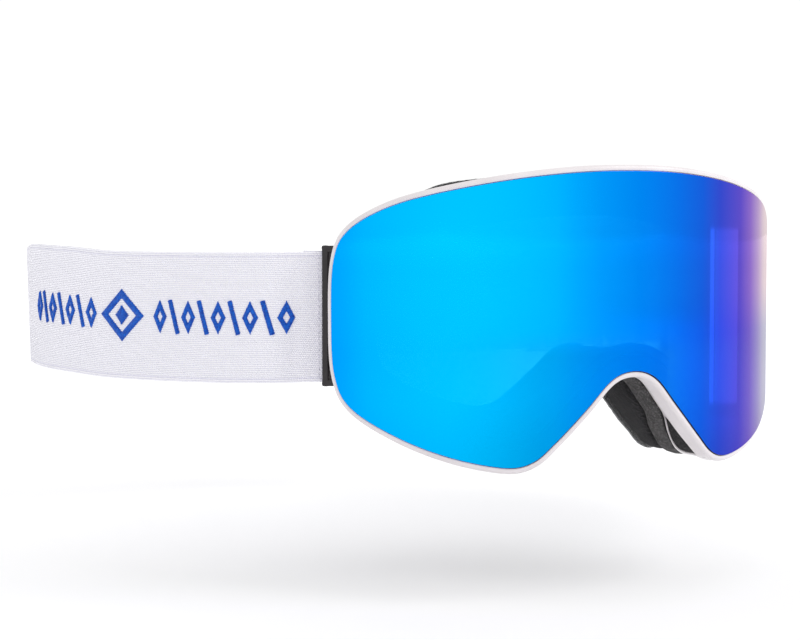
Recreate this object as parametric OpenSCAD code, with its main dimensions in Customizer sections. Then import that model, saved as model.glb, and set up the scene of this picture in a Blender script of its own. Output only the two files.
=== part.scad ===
// Ski goggles with a cylindrical mirror lens held by magnets, on an elastic strap.
// X is across the face, -Y is where the wearer looks, +Z is up. The wearer's right is at -X.
// The origin is on the middle plane, at the strap's centre line, where the foam meets the brow.

/* [Lens] */
// Width of the outer lens, seen from the front
lens_w = 176; // [172:1:180]
// Radius of the cylinder that the outer lens follows
lens_r = 103.5; // [102.5:0.5:106]
// Thickness of the outer lens
lens_t = 1.2; // [1:0.1:1.4]
// Air gap between the outer and the inner lens
lens_gap = 3.6; // [3.4:0.1:3.8]
// Thickness of the inner lens
inner_lens_t = 0.8; // [0.6:0.1:0.9]

/* [Frame] */
// Depth from the front of the lens to the frame's rear edge, at the middle
frame_depth = 22; // [21:0.5:23]
// Radius of the face curve, seen from above
face_r = 100; // [98:1:104]
// Width of the rim around the lens
rim_w = 1.7; // [1.4:0.1:2]
// Thickness of the frame's wall
wall_t = 2.2; // [1.8:0.1:2.4]

/* [Face foam] */
// Thickness of the firm foam layer next to the frame
foam_base_t = 10; // [8:0.5:11]
// Thickness of the soft foam layer
foam_soft_t = 9; // [7:0.5:10]
// Thickness of the fleece on the face side
fleece_t = 2; // [1.5:0.5:2.5]

/* [Strap] */
// Width of the elastic webbing
strap_w = 44.5; // [43:0.5:44.5]
// Thickness of the elastic webbing
strap_t = 1.6; // [1.4:0.1:1.6]
// Angle between the outrigger and the X axis, seen from above
flare = 31; // [29:1:33]
// How far the rear of the strap hangs down from level, in degrees
rear_droop = 5.5; // [5:0.5:8]

/* [Outriggers] */
// Height of each outrigger
outrigger_h = 47.3; // [47.3:0.1:49]
// Radius of each hinge pin
pin_r = 1; // [0.9:0.05:1]
// Radial clearance of the outrigger's bore on its pin
pin_play = 0.05; // [0.04:0.01:0.08]

/* [Hidden] */

gap = 0.1;                                  // clearance between neighbouring solids
front_y = -(frame_depth + foam_base_t + foam_soft_t + fleece_t);
axis_y = front_y + lens_r;                  // the lens cylinder's axis
carrier_back_r = lens_r - lens_t - lens_gap - inner_lens_t - gap;
seat_r = carrier_back_r - 0.2;              // the seat that the lens carrier rests on
seat_t = 2;
lip_gap = 0.35;                             // clearance between the lens edge and the rim

// One half of the lens outline seen from the front, from the top to the nose, for a lens 176 wide
half_outline = [
    [0, 48.4], [21, 47.7], [43, 45.1], [63.5, 40.7], [76, 35.9], [84.5, 28.6], [87.5, 18.8], [88, -0.5],
    [87.3, -19.5], [83.6, -30.2], [72.6, -39.1], [58.6, -45.3], [43.2, -48.4], [35.1, -46.6],
    [28.5, -40.8], [17.6, -29.6], [8.5, -20.1], [0, -17.5]
];
outline_steps = 3;                          // stations between two outline points
brow_taper = 2.6;                           // how far the brow side of the wall draws in at most
// The depth of the frame's rear edge at the nose, by height
nose_edge = [
    [-48.5, 22.6], [-45.5, 22], [-42, 20], [-38.3, 17], [-34.4, 12.8], [-32, 11], [-29.7, 9.2], [-15, 9]
];

// ---- Outline stations, on the lens cylinder rolled out flat ----
key_n = 2 * len(half_outline) - 2;
station_n = key_n * outline_steps;

function mirror_x(p) = [-p[0], p[1]];
function wrap(i, n) = (i + n) % n;
function key(i) =
    let (k = wrap(i, key_n))
    (k < len(half_outline) ? half_outline[k] : mirror_x(half_outline[key_n - k])) * lens_w / 176;
function spline(a, b, c, d, t) =
    b + (c - a) * t / 2 + (2 * a - 5 * b + 4 * c - d) * t * t / 2 + (3 * b - a - 3 * c + d) * t * t * t / 2;
function roll_out(p) = [lens_r * asin(p[0] / lens_r) * PI / 180, p[1]];

stations = [
    for (i = [0 : key_n - 1], j = [0 : outline_steps - 1])
    roll_out(spline(key(i - 1), key(i), key(i + 1), key(i + 2), j / outline_steps))
];
function outward(i) =
    let (t = stations[wrap(i + 1, station_n)] - stations[wrap(i - 1, station_n)])
    [-t[1], t[0]] / norm(t);

// The point at station i, moved outwards by d along the lens, on the cylinder of radius r
function at(i, d, r) =
    let (q = stations[i] + d * outward(i), a = q[0] / lens_r * 180 / PI)
    [r * sin(a), axis_y - r * cos(a), q[1]];
function front_view(d, r) = [for (i = [0 : station_n - 1]) let (p = at(i, d, r)) [p[0], p[2]]];

function ease(t) = let (c = max(0, min(1, t))) c * c * (3 - 2 * c);

// 0 at the nose and middle, 1 at the temples
function side_part(i) = ease((abs(stations[i][0]) - 48) / 45);
// How much the brow side tapers towards the rear: most at the sides of the brow, nothing below the middle
function brow_part(i) =
    let (s = abs(stations[i][0]))
    ease(stations[i][1] / 25) * (0.45 + 0.55 * ease(s / 40)) * (1 - ease((s - 55) / 30));
// 1 at the nose, 0 elsewhere
function nose_part(i) = stations[i][1] < 0 ? 1 - ease((abs(stations[i][0]) - 30) / 22) : 0;
function wall_out(i) = 1.2 - 8.6 * side_part(i) - brow_taper * brow_part(i);
function seat_in(i) = wall_out(i) - wall_t - 5.2 + 4.6 * side_part(i);

// ---- The curves that the frame and the foam layers end on ----
function face_y(x) = front_y + frame_depth + face_r - sqrt(face_r * face_r - x * x);
function nose_y(z) = front_y + lookup(z, nose_edge);
function wall_start(i) = at(i, wall_out(i), seat_r - seat_t - 0.3);
// Where the frame ends behind station i, at the distance x from the middle
function frame_end_y(i, x) =
    let (w = wall_start(i), y = face_y(x) + (nose_y(stations[i][1]) - face_y(x)) * nose_part(i))
    max(y, w[1] + 0.8);
function soft_end_y(x) = face_y(x) + foam_base_t + foam_soft_t;

// A closed ring: sections[i] lists the corners of its cross-section at station i
module sweep(sections) {
    n = len(sections);
    m = len(sections[0]);
    points = [for (s = sections, p = s) p];
    faces = [
        for (i = [0 : n - 1], k = [0 : m - 1])
        let (here = i * m, next = wrap(i + 1, n) * m, k2 = (k + 1) % m)
        let (a = here + k, b = next + k, c = next + k2, d = here + k2)
        each k == m - 1 ? [[a, d, b], [b, d, c]] : [[a, c, b], [a, d, c]]  // touching rings share diagonals
    ];
    polyhedron(points, faces, convexity = 8);
}

// A ring of constant width that follows the lens: d_out and d_in are offsets, r_out and r_in radii
module lens_ring(d_out, d_in, r_out, r_in) {
    sweep([
        for (i = [0 : station_n - 1])
        [at(i, d_out, r_out), at(i, d_out, r_in), at(i, d_in, r_in), at(i, d_in, r_out)]
    ]);
}

// A panel bent to the lens curve, with the lens's outline moved out by d
module lens_panel(d, r, t) {
    intersection() {
        translate([0, axis_y, 0]) difference() {
            cylinder(r = r, h = 120, center = true, $fn = 180);
            cylinder(r = r - t, h = 121, center = true, $fn = 180);
        }
        translate([0, front_y + 80, 0]) rotate([90, 0, 0]) linear_extrude(82) polygon(front_view(d, r - t));
    }
}

// Places children on the lens curve, -Y facing out, at angle a from the middle and height z
module on_curve(a, r, z) {
    translate([0, axis_y, 0]) rotate([0, 0, a]) translate([0, -r, z]) children();
}

module disc(r, t) { cylinder(r = r, h = t, $fn = 40); }

module both_sides() {
    children();
    mirror([1, 0, 0]) children();
}

// ---- Frame ----
function frame_section(i) =
    let (
        w = wall_out(i),
        e = wall_start(i),
        g = at(i, w - wall_t, seat_r - seat_t - 0.3)
    ) [
        at(i, lip_gap, lens_r - 0.3),
        at(i, lip_gap + rim_w * 0.45, lens_r),
        at(i, lip_gap + rim_w, lens_r - 1),
        at(i, lip_gap + rim_w, seat_r - 0.6),
        e,
        [e[0], frame_end_y(i, e[0]), e[2]],
        [g[0], frame_end_y(i, g[0]), g[2]],
        g,
        at(i, seat_in(i), seat_r - seat_t),
        at(i, seat_in(i), seat_r),
        at(i, lip_gap, seat_r)
    ];

magnet_r = 2.2;
magnet_t = 1.4;
magnet_d = -2.9;                            // magnets sit this far inside the lens edge
magnet_stations = [7, 16, 24, 33, 45];      // stations of the magnets on one half

// Children at each magnet's place, on the cylinder of radius r, with +Z facing the wearer's face
module at_magnets(r) {
    both_sides() for (i = magnet_stations) {
        q = stations[i] + magnet_d * outward(i);
        on_curve(q[0] / lens_r * 180 / PI, r, q[1]) rotate([-90, 0, 0]) children();
    }
}

top_vent_angles = [-37, -23, -8, 8, 23, 37];
bottom_vent_angles = [-40, -30, 30, 40];
vent_depth = 5.5;
vent_r = 91;                                // outer radius of the vent slots, from the lens axis
nose_vent = [27, -41];                      // middle of the left nose vent, seen from the front
// The nose vent's shape: along the nose flank, and backwards
nose_vent_shape = [
    [-6.5, 0], [-1.5, -0.1], [5, 0.6], [7, 2.4], [7, 6.5], [4.5, 6.8], [1, 5.2], [-2.5, 3], [-5.2, 1.4]
];
nose_vent_tilt = 44;                        // slope of the nose flank

module vents() {
    for (a = top_vent_angles) on_curve(a, vent_r, 0) translate([-8.5, 0, 25]) cube([17, vent_depth, 40]);
    for (a = bottom_vent_angles) on_curve(a, vent_r, 0) translate([-6, 0, -60]) cube([12, vent_depth, 30]);
    both_sides() translate([nose_vent[0], front_y + 12.1, nose_vent[1]]) rotate([0, nose_vent_tilt, 0])
        linear_extrude(8, center = true) polygon(nose_vent_shape);
}

ear_t = 4;                                  // height of each hinge ear
ear_z = 19;                                 // height of the ears' inner faces
ear_r = 2;
pin_x = -79.9 * lens_w / 176;
pin_y = front_y + 58.7;

module ears() {
    for (z = [ear_z, -ear_z - ear_t]) translate([0, 0, z]) {
        translate([pin_x, pin_y, 0]) cylinder(r = ear_r, h = ear_t, $fn = 40);
        linear_extrude(ear_t) polygon([
            [pin_x - 0.4, pin_y - ear_r + 0.1], [pin_x + 4.2, pin_y - 5], [pin_x + 4.2, pin_y - 3],
            [pin_x + 2.6, pin_y - 1.2], [pin_x + 0.4, pin_y + ear_r - 0.1]
        ]);
    }
}

module frame() {
    color("white") difference() {
        union() {
            sweep([for (i = [0 : station_n - 1]) frame_section(i)]);
            both_sides() ears();
        }
        vents();
        at_magnets(seat_r - magnet_t - 0.1) translate([0, 0, -4]) disc(magnet_r + gap, 4);
        both_sides() translate([pin_x, pin_y, -30]) cylinder(r = pin_r + 0.02, h = 60, $fn = 48);
    }
}

module frame_magnets() {
    color("silver") at_magnets(seat_r - magnet_t - 0.05) translate([0, 0, -magnet_t])
        disc(magnet_r, magnet_t);
}

// ---- Lens ----
carrier_d = -0.5;
carrier_w = 5;
gasket_w = 3.4;
pad_t = 1;

module lens_outer() { color("deepskyblue") lens_panel(0, lens_r, lens_t); }

module lens_carrier() {
    color("black") difference() {
        lens_ring(carrier_d, carrier_d - carrier_w, lens_r - lens_t - gap, carrier_back_r);
        at_magnets(carrier_back_r) translate([0, 0, -pad_t - 0.1]) disc(magnet_r + gap, 5);
    }
}

module lens_gasket() {
    d = carrier_d - carrier_w - 0.3;
    color("dimgray") lens_ring(d, d - gasket_w, lens_r - lens_t - gap, lens_r - lens_t - lens_gap + gap);
}

module lens_inner() {
    color("lightgray", 0.4) lens_panel(carrier_d - carrier_w - 0.4, lens_r - lens_t - lens_gap, inner_lens_t);
}

module lens_steel_pads() {
    color("gray") at_magnets(carrier_back_r) translate([0, 0, -pad_t]) disc(magnet_r, pad_t);
}

// ---- Face foam ----
opening_scale = [0.8, 0.68];                // the eye opening is the outline scaled about opening_mid_z
opening_mid_z = 4;

function foam_outer(i) = let (p = at(i, wall_out(i) + 0.8, seat_r - seat_t)) [p[0], p[2]];
function foam_inner(i) =
    let (p = at(i, 0, lens_r))
    [p[0] * opening_scale[0], opening_mid_z + (p[2] - opening_mid_z) * opening_scale[1]];

// A foam layer between two surfaces: front[i] and back[i] hold their y at the outer and the inner edge
module foam_layer(front, back) {
    sweep([
        for (i = [0 : station_n - 1])
        let (o = foam_outer(i), n = foam_inner(i), f = front[i], b = back[i])
        [[o[0], f[0], o[1]], [o[0], b[0], o[1]], [n[0], b[1], n[1]], [n[0], f[1], n[1]]]
    ]);
}

frame_ends = [
    for (i = [0 : station_n - 1])
    let (o = frame_end_y(i, foam_outer(i)[0]) + gap, n = frame_end_y(i, foam_inner(i)[0]) + gap)
    [o, n + (o - n) * nose_part(i)]
];
base_ends = shifted(frame_ends, [foam_base_t, foam_base_t]);
soft_ends = [for (i = [0 : station_n - 1]) [soft_end_y(foam_outer(i)[0]), soft_end_y(foam_inner(i)[0])]];
fleece_shift = [fleece_t, fleece_t];
gap_shift = [gap, gap];

function shifted(ends, s) = [for (e = ends) e + s];

module foam_base() { color([0.28, 0.28, 0.3]) foam_layer(frame_ends, base_ends); }
module foam_soft() { color([0.18, 0.18, 0.2]) foam_layer(shifted(base_ends, gap_shift), soft_ends); }
module foam_fleece() {
    color([0.1, 0.1, 0.12]) foam_layer(shifted(soft_ends, gap_shift), shifted(soft_ends, fleece_shift));
}

// ---- Vent foam: thin strips that cover the vents from inside ----
vent_foam_t = 1.8;
vent_foam_depth = 8;

// A strip inside the frame's wall, from one station to another
module vent_strip(from, to) {
    n = to - from;
    points = [
        for (i = [from : to])
        let (
            s = wrap(i, station_n),
            w = wall_out(s) - wall_t - gap,
            a = at(s, w, seat_r - seat_t - 0.3),
            b = at(s, w - vent_foam_t, seat_r - seat_t - 0.3),
            y = wall_start(s)[1] + 1.2,
            end = min(y + vent_foam_depth, frame_end_y(s, a[0]) - 0.3)
        )
        each [[a[0], y, a[2]], [a[0], end, a[2]], [b[0], end, b[2]], [b[0], y, b[2]]]
    ];
    faces = concat(
        [[3, 2, 1, 0]],
        [
            for (i = [0 : n - 1], k = [0 : 3])
            let (a = i * 4 + k, d = i * 4 + (k + 1) % 4)
            each [[a, d, d + 4], [a, d + 4, a + 4]]
        ],
        [[n * 4, n * 4 + 1, n * 4 + 2, n * 4 + 3]]
    );
    polyhedron(points, faces);
}

module vent_foam_top() { color("dimgray") vent_strip(-10, 10); }
module vent_foam_bottom() { color("dimgray") both_sides() vent_strip(30, 35); }
module vent_foam_nose() { color("dimgray") both_sides() vent_strip(40, 43); }

// ---- Outriggers: origin at the hinge pin, +X pointing out along the strap ----
bar_x = 5.1;
bar_y = 1;
bar_r = 1;
plate_y = -3.4;                             // front face of the cover plate
plate_t = 1.1;
plate_x = 6;
end_t = 1.3;                                // height of the bridges above and below the strap
fold_r = bar_r + 0.15;

module at_pin() { translate([pin_x, pin_y, 0]) rotate([0, 0, -flare]) mirror([1, 0, 0]) children(); }

module outrigger() {
    color([0.12, 0.12, 0.13]) difference() {
        union() {
            cylinder(r = 2, h = 2 * ear_z - 0.4, center = true, $fn = 40);
            translate([0.4, plate_y, -outrigger_h / 2]) cube([plate_x - 0.4, plate_t, outrigger_h]);
            translate([-1.2, plate_y, -ear_z + 0.2]) cube([2.4, 2.6, 2 * ear_z - 0.4]);
            translate([bar_x, bar_y, 0]) cylinder(r = bar_r, h = outrigger_h - 1, center = true, $fn = 32);
            for (z = [outrigger_h / 2 - end_t, -outrigger_h / 2]) {
                translate([bar_x - 1, plate_y + 0.3, z]) cube([2, bar_y - plate_y - 0.3, end_t]);
                translate([bar_x, bar_y, z]) cylinder(r = bar_r + 0.2, h = end_t, $fn = 32);
            }
        }
        cylinder(r = pin_r + pin_play, h = 60, center = true, $fn = 48);
    }
}

module outrigger_right() { at_pin() outrigger(); }
module outrigger_left() { mirror([1, 0, 0]) outrigger_right(); }

module hinge_pin() {
    color("silver") translate([pin_x, pin_y, 0]) {
        cylinder(r = pin_r, h = 2 * (ear_z + ear_t), center = true, $fn = 48);
        translate([0, 0, ear_z + ear_t]) cylinder(r = pin_r + 0.6, h = 0.6, $fn = 48);
    }
}

module hinge_pin_right() { hinge_pin(); }
module hinge_pin_left() { mirror([1, 0, 0]) hinge_pin(); }

// ---- Strap ----
fold_end = 13;                              // where the sewn fold ends, from the hinge pin
strap_start = 15.2;                         // where the side strap starts, from the hinge pin
leg_y = bar_y - fold_r - strap_t / 2;       // centre line of the fold's outer leg

module strap_solid(points) { linear_extrude(strap_w, center = true) polygon(points); }

// The webbing's end, folded round a bar at the origin and sewn to itself; it leaves along +X at -Y
module webbing_fold(leg, inner_r) {
    outer_r = inner_r + strap_t;
    sink = 0.15;                            // the sewn layers press into each other this far
    linear_extrude(strap_w, center = true) {
        difference() {
            circle(r = outer_r, $fn = 48);
            circle(r = inner_r, $fn = 48);
            translate([0, -10]) square([10, 20]);
        }
        polygon([
            [0, -outer_r], [1, -outer_r + sink], [leg, -outer_r + sink],
            [leg, -inner_r - sink], [1, -inner_r - sink], [0, -inner_r]
        ]);
        polygon([
            [0, inner_r], [leg * 0.65, -inner_r - 2 * sink], [leg, -inner_r - 2 * sink],
            [leg, -inner_r + strap_t - sink], [leg * 0.65 + 1, -inner_r + strap_t - sink], [0, outer_r]
        ]);
    }
}

module strap_fold_right() {
    color([0.93, 0.92, 0.96]) at_pin() translate([bar_x, bar_y, 0]) webbing_fold(fold_end - bar_x, fold_r);
}
module strap_fold_left() { mirror([1, 0, 0]) strap_fold_right(); }

// Straight stretch behind the ring, seen from above: where it starts and which way it runs
ring_x = -131;
ring_y = front_y + 225;
droop_y = front_y + 198;                    // the strap is level in front of here and hangs down behind
ring_turn = 52;
ring_bar_r = 1.3;
loop_end_t = 1.4;                           // height of the ends of the rings and adjusters
ring_gap = 8;                               // distance between the ring's two bars
ring_fold_r = ring_bar_r + 0.2;
ring_tail = 12;                             // length of the webbing sewn back on itself at each ring
ring_leg = ring_fold_r + strap_t / 2;       // the webbing's centre line, outside the ring's bars
slide_length = 54;
rear_turn_r = 34;

module at_ring() { translate([ring_x, ring_y, 0]) rotate([0, 0, ring_turn]) children(); }
module drooping() {
    translate([0, droop_y, 0]) rotate([-rear_droop, 0, 0]) translate([0, -droop_y, 0]) children();
}

function turn(p, a) = [p[0] * cos(a) - p[1] * sin(a), p[0] * sin(a) + p[1] * cos(a)];
function from_ring(p) = [ring_x, ring_y] + turn(p, ring_turn);
function from_pin(p) = [pin_x, pin_y] + turn([-p[0], p[1]], -flare);

side_keys = concat(
    [from_pin([strap_start - 8, leg_y]), from_pin([strap_start, leg_y])],
    [for (p = [[-104, 72], [-120.5, 94], [-136, 123], [-148, 153], [-151, 180]]) [p[0], p[1] + front_y]],
    [from_ring([-16, ring_leg]), from_ring([-6, ring_leg]), from_ring([0, ring_leg])]
);
side_steps = 5;

function path(keys, steps) = [
    for (i = [1 : len(keys) - 3], j = [0 : steps - 1])
    spline(keys[i - 1], keys[i], keys[i + 1], keys[i + 2], j / steps)
];
function path_side(p, i) =
    let (t = p[min(i + 1, len(p) - 1)] - p[max(i - 1, 0)]) [-t[1], t[0]] / norm(t);
function band(p, t) = concat(
    [for (i = [0 : len(p) - 1]) p[i] + path_side(p, i) * t / 2],
    [for (i = [len(p) - 1 : -1 : 0]) p[i] - path_side(p, i) * t / 2]
);

module strap_side_right() {
    p = path(side_keys, side_steps);
    level = [for (q = p) if (q[1] < droop_y + 5) q];
    hanging = [for (q = p) if (q[1] > droop_y - 5) q];
    color([0.93, 0.92, 0.96]) {
        strap_solid(band(level, strap_t));
        drooping() strap_solid(band(hanging, strap_t));
        drooping() at_ring() rotate([0, 0, 180]) webbing_fold(ring_tail, ring_fold_r);
    }
}
module strap_side_left() { mirror([1, 0, 0]) strap_side_right(); }

module strap_ring_right() {
    end_z = strap_w / 2 + 0.3;
    color("white") drooping() at_ring() {
        for (x = [0, ring_gap]) translate([x, 0, -end_z - 0.5]) disc(ring_bar_r, 2 * end_z + 1);
        for (z = [end_z, -end_z - loop_end_t]) translate([-ring_bar_r, -ring_bar_r, z])
            cube([ring_gap + 2 * ring_bar_r, 2 * ring_bar_r, loop_end_t]);
    }
}
module strap_ring_left() { mirror([1, 0, 0]) strap_ring_right(); }

rear_bend = from_ring([slide_length, ring_leg]);
rear_steps = 8;
rear_half = concat(
    [from_ring([ring_gap + 1.5, ring_leg])],
    [
        for (k = [0 : rear_steps])
        let (a = ring_turn * (1 - k / rear_steps))
        rear_bend + rear_turn_r * [sin(ring_turn) - sin(a), cos(a) - cos(ring_turn)]
    ]
);
rear_y = rear_half[len(rear_half) - 1][1];

module strap_rear() {
    path_points = concat(rear_half, [for (i = [len(rear_half) - 1 : -1 : 0]) mirror_x(rear_half[i])]);
    color([0.93, 0.92, 0.96]) drooping() {
        strap_solid(band(path_points, strap_t));
        both_sides() at_ring() translate([ring_gap, 0, 0]) mirror([0, 1, 0])
            webbing_fold(ring_tail, ring_fold_r);
    }
}

slider_x = 34;
slider_l = 18;
bar_w = 3;
bar_t = 1.8;
slider_play = 0.25;

module adjuster_right() {
    out_y = ring_leg + strap_t / 2 + slider_play;
    in_y = ring_leg - strap_t / 2 - slider_play - bar_t;
    end_z = strap_w / 2 + 0.3;
    color("white") drooping() at_ring() translate([slider_x, 0, 0]) {
        for (x = [-slider_l / 2, slider_l / 2 - bar_w])
            translate([x, out_y, -end_z - 1]) cube([bar_w, bar_t, 2 * end_z + 2]);
        translate([-bar_w / 2, in_y, -end_z - 1]) cube([bar_w, bar_t, 2 * end_z + 2]);
        for (z = [end_z, -end_z - loop_end_t])
            translate([-slider_l / 2, in_y, z]) cube([slider_l, out_y + bar_t - in_y, loop_end_t]);
    }
}
module adjuster_left() { mirror([1, 0, 0]) adjuster_right(); }

grip_l = 110;
grip_w = 2.5;
grip_t = 0.6;

module grip_strips() {
    grip_y = rear_y - strap_t / 2 - grip_t - 0.02;
    color([0.85, 0.88, 0.92]) drooping() for (z = [-12, 0, 12])
        translate([-grip_l / 2, grip_y, z - grip_w / 2]) cube([grip_l, grip_t, grip_w]);
}

frame();
frame_magnets();
lens_outer();
lens_carrier();
lens_gasket();
lens_inner();
lens_steel_pads();
foam_base();
foam_soft();
foam_fleece();
vent_foam_top();
vent_foam_bottom();
vent_foam_nose();
outrigger_right();
outrigger_left();
hinge_pin_right();
hinge_pin_left();
strap_fold_right();
strap_fold_left();
strap_side_right();
strap_side_left();
strap_ring_right();
strap_ring_left();
strap_rear();
adjuster_right();
adjuster_left();
grip_strips();
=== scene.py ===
"""Ski goggles: the visual model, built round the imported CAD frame.

Lengths are in millimetres until a mesh is made. The frame is the CAD's: +Z up, -Y where the wearer looks,
the origin on the middle plane at the strap's centre line, where the foam meets the brow.
"""
import math

import bpy
import numpy as np
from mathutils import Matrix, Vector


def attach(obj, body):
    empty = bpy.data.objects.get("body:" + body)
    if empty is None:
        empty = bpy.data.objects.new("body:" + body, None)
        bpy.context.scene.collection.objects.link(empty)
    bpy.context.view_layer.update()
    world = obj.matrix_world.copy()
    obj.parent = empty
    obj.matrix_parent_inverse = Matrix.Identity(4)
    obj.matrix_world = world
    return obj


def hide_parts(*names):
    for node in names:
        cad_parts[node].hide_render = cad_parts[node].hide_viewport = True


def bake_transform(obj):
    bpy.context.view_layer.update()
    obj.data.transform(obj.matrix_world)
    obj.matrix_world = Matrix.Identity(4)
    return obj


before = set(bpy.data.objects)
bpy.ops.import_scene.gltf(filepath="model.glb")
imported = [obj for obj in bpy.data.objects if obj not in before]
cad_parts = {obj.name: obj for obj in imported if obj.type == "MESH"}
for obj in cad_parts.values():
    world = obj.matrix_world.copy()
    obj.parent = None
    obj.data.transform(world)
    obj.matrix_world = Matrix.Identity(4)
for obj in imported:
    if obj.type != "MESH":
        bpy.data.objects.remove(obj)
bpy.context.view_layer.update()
MM = 0.001

# ---- Sizes that the CAD part also uses ----
LENS_R, LENS_T, LENS_GAP, INNER_T = 103.5, 1.2, 3.6, 0.8
FRAME_DEPTH, FACE_R = 22.0, 100.0
RIM_W, WALL_T, LIP_GAP = 1.7, 2.2, 0.35
BASE_T, SOFT_T, FLEECE_T = 10.0, 9.0, 2.0
STRAP_W, STRAP_T = 44.5, 1.6
FRONT_Y = -(FRAME_DEPTH + BASE_T + SOFT_T + FLEECE_T)
AXIS_Y = FRONT_Y + LENS_R
CARRIER_R = LENS_R - LENS_T - LENS_GAP - INNER_T - 0.1
SEAT_R = CARRIER_R - 0.2
SEAT_T = 2.0
WALL_R = SEAT_R - SEAT_T - 0.3
PIN = np.array([-79.9, FRONT_Y + 58.7])
PIN_R = 1.0
EAR_Z, EAR_T, EAR_R = 19.0, 4.0, 2.0
FLARE = math.radians(31)
BAR = np.array([5.1, 1.0])
BAR_R = 1.0
RING = np.array([-131.0, FRONT_Y + 225])
RING_TURN = math.radians(52)
RING_GAP, RING_BAR_R = 8.0, 1.3
DROOP_Y, DROOP = FRONT_Y + 198, math.radians(5.5)
REAR_R, SLIDE_L = 34.0, 54.0
HALF_OUTLINE = [
    (0, 48.4), (21, 47.7), (43, 45.1), (63.5, 40.7), (76, 35.9), (84.5, 28.6), (87.5, 18.8), (88, -0.5),
    (87.3, -19.5), (83.6, -30.2), (72.6, -39.1), (58.6, -45.3), (43.2, -48.4), (35.1, -46.6),
    (28.5, -40.8), (17.6, -29.6), (8.5, -20.1), (0, -17.5),
]
STATIONS = 512          # points round the lens outline
MASK = "mask"
SIDES = (("right", 1), ("left", -1))


# ---- Small maths ----
def ramp(t):
    t = np.clip(t, 0, 1)
    return t * t * (3 - 2 * t)


def soft_min(a, b, k):
    h = np.clip(0.5 + 0.5 * (b - a) / k, 0, 1)
    return b * (1 - h) + a * h - k * h * (1 - h)


def soft_max(a, b, k):
    return -soft_min(-a, -b, k)


def unit(v):
    return v / np.maximum(np.linalg.norm(v, axis=-1, keepdims=True), 1e-9)


_table = np.random.RandomState(7).rand(8192)


def lattice_noise(p, size, seed=0):
    """Smooth noise from -1 to 1 that varies over about size millimetres."""
    q = np.asarray(p) / size
    base = np.floor(q).astype(np.int64)
    f = q - base
    f = f * f * (3 - 2 * f)
    total = 0
    for corner in range(8):
        o = np.array([corner & 1, corner >> 1 & 1, corner >> 2 & 1])
        c = base + o
        h = (c[..., 0] * 73856093 ^ c[..., 1] * 19349663 ^ c[..., 2] * 83492791 ^ seed * 2654435761) & 8191
        w = np.prod(np.where(o, f, 1 - f), axis=-1)
        total = total + w * _table[h]
    return total * 2 - 1


def catmull(keys, steps, closed):
    k = np.array(keys, float)
    if closed:
        a, b, c, d = np.roll(k, 1, 0), k, np.roll(k, -1, 0), np.roll(k, -2, 0)
    else:
        k = np.vstack([2 * k[0] - k[1], k, 2 * k[-1] - k[-2]])
        a, b, c, d = k[:-3], k[1:-2], k[2:-1], k[3:]
    t = (np.arange(steps) / steps)[None, :, None]
    a, b, c, d = a[:, None], b[:, None], c[:, None], d[:, None]
    p = b + (c - a) * t / 2 + (2 * a - 5 * b + 4 * c - d) * t**2 / 2 + (3 * b - a - 3 * c + d) * t**3 / 2
    p = p.reshape(-1, k.shape[1])
    return p if closed else np.vstack([p, k[-2:-1]])


def resample(p, n, closed):
    q = np.vstack([p, p[:1]]) if closed else p
    s = np.concatenate([[0], np.cumsum(np.linalg.norm(np.diff(q, axis=0), axis=1))])
    t = np.linspace(0, s[-1], n + 1)[:-1] if closed else np.linspace(0, s[-1], n)
    return np.stack([np.interp(t, s, q[:, k]) for k in range(q.shape[1])], 1)


# ---- The lens outline, rolled out flat, and places on the lens cylinder ----
def blurred(values, gap, spread):
    """Smooths values, taken every gap round a closed outline, over about spread millimetres."""
    blur = np.exp(-0.5 * (2 * np.pi * np.fft.fftfreq(STATIONS, gap) * spread) ** 2)
    return np.fft.ifft(np.fft.fft(values.T) * blur).real.T


def rolled_out(steps):
    """The lens outline on the lens surface rolled out flat."""
    keys = HALF_OUTLINE + [(-x, z) for x, z in HALF_OUTLINE[-2:0:-1]]
    p = catmull(keys, steps, True)
    return np.stack([LENS_R * np.arcsin(p[:, 0] / LENS_R), p[:, 1]], 1)


def lens_outline():
    p = resample(rolled_out(30), STATIONS, True)
    length = np.linalg.norm(np.diff(np.vstack([p, p[:1]]), axis=0), axis=1).sum()
    return blurred(p, length / STATIONS, 1.3)


def outline_normals(p):
    t = unit(np.roll(p, -1, 0) - np.roll(p, 1, 0))
    return np.stack([-t[:, 1], t[:, 0]], 1)


OUT = lens_outline()
OUT_N = outline_normals(OUT)


def cylinder(q, r):
    """Points on the cylinder of radius r, from points q of the lens surface rolled out flat."""
    a = q[..., 0] / LENS_R
    return np.stack([r * np.sin(a), AXIS_Y - r * np.cos(a), q[..., 1]], -1)


def at(d, r):
    """The outline moved outwards by d along the lens, on the cylinder of radius r."""
    return cylinder(OUT + np.asarray(d * np.ones(STATIONS))[:, None] * OUT_N, r)


FROM_MIDDLE = np.abs(OUT[:, 0])
SIDE = ramp((FROM_MIDDLE - 48) / 45)
BROW = ramp(OUT[:, 1] / 25) * (0.45 + 0.55 * ramp(FROM_MIDDLE / 40)) * (1 - ramp((FROM_MIDDLE - 55) / 30))
NOSE = np.where(OUT[:, 1] < 0, 1 - ramp((FROM_MIDDLE - 30) / 22), 0)
WALL_D = 1.2 - 8.6 * SIDE - 2.6 * BROW
SEAT_D = WALL_D - WALL_T - 5.2 + 4.6 * SIDE
# The depth of the frame's rear edge at the nose, by height
NOSE_EDGE = np.array([
    (-48.5, 22.6), (-45.5, 22), (-42, 20), (-38.3, 17), (-34.4, 12.8), (-32, 11), (-29.7, 9.2), (-15, 9),
])


def face_y(x):
    return FRONT_Y + FRAME_DEPTH + FACE_R - np.sqrt(FACE_R**2 - x * x)


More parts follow.
